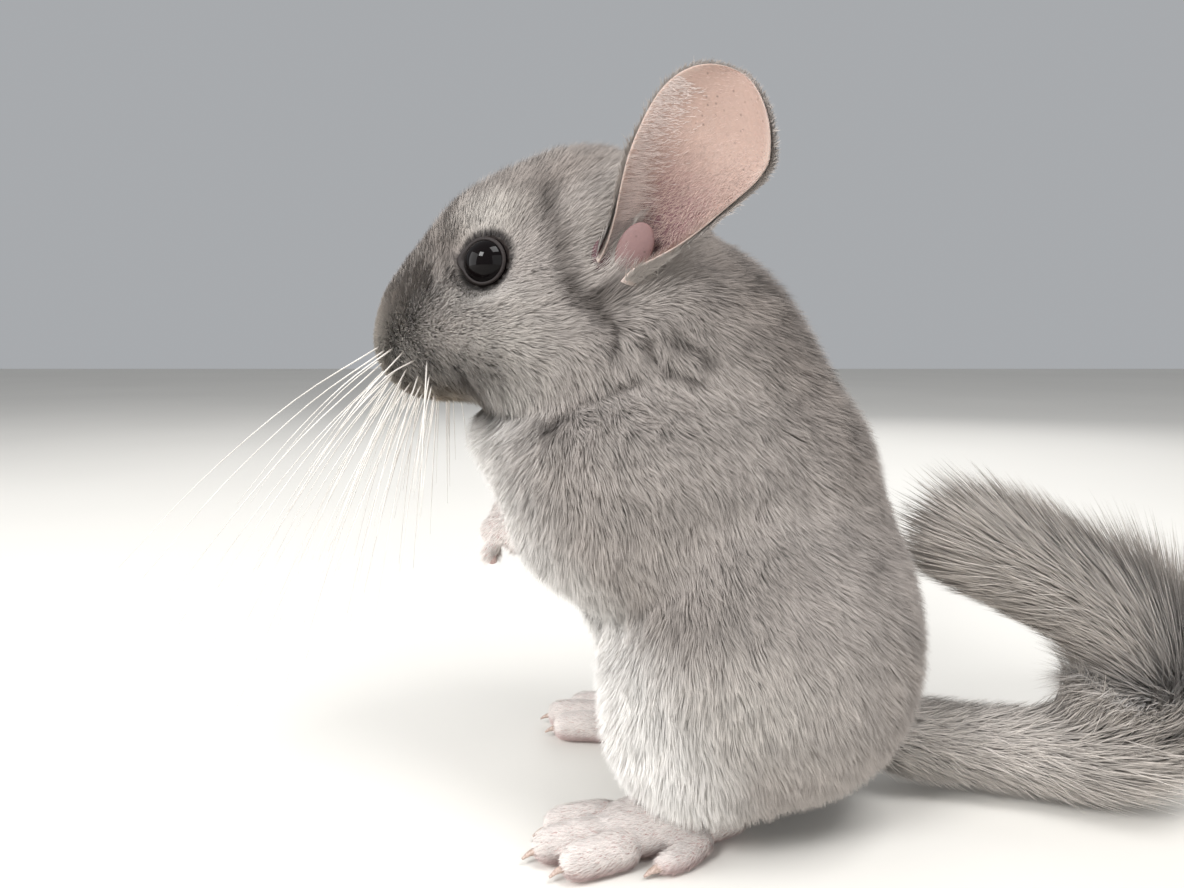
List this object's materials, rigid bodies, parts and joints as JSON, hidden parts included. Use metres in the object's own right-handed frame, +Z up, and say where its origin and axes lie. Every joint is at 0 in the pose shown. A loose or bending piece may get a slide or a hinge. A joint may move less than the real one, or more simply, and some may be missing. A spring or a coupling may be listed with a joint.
{
  "type": "chinchilla",
  "caption": "Still, life-size chinchilla sitting upright on its hind feet, with raised ears, folded forepaws and a bushy tail curled up behind.",
  "frame": {"origin": "on the floor, under the middle of the whole animal", "axes": "+Z up, the animal faces -Y and its own left side is +X"},
  "size_m": [0.1168, 0.2814, 0.1778],
  "materials": {
    "fur": "soft matt plush coat, light taupe grey",
    "muzzle_fur": "soft matt short fur, pale",
    "tail_fur": "coarse matt long hair, grey with pale tips",
    "ear_skin": "thin soft bare skin with fine down",
    "foot_fur": "short pale fur over pinkish skin",
    "eye": "wet glossy black"
  },
  "bodies": {
    "root": {"torso": "fur", "neck": "fur", "head": "fur", "muzzle": "muzzle_fur", "eye_left": "eye", "eye_right": "eye", "ear_left": "ear_skin", "ear_right": "ear_skin", "foreleg_left": "fur", "foreleg_right": "fur", "forepaw_left": "foot_fur", "forepaw_right": "foot_fur", "thigh_left": "fur", "thigh_right": "fur", "hind_foot_left": "foot_fur", "hind_foot_right": "foot_fur", "tail_base": "tail_fur", "tail_bend": "tail_fur", "tail_tip": "tail_fur"}
  },
  "joints": []
}
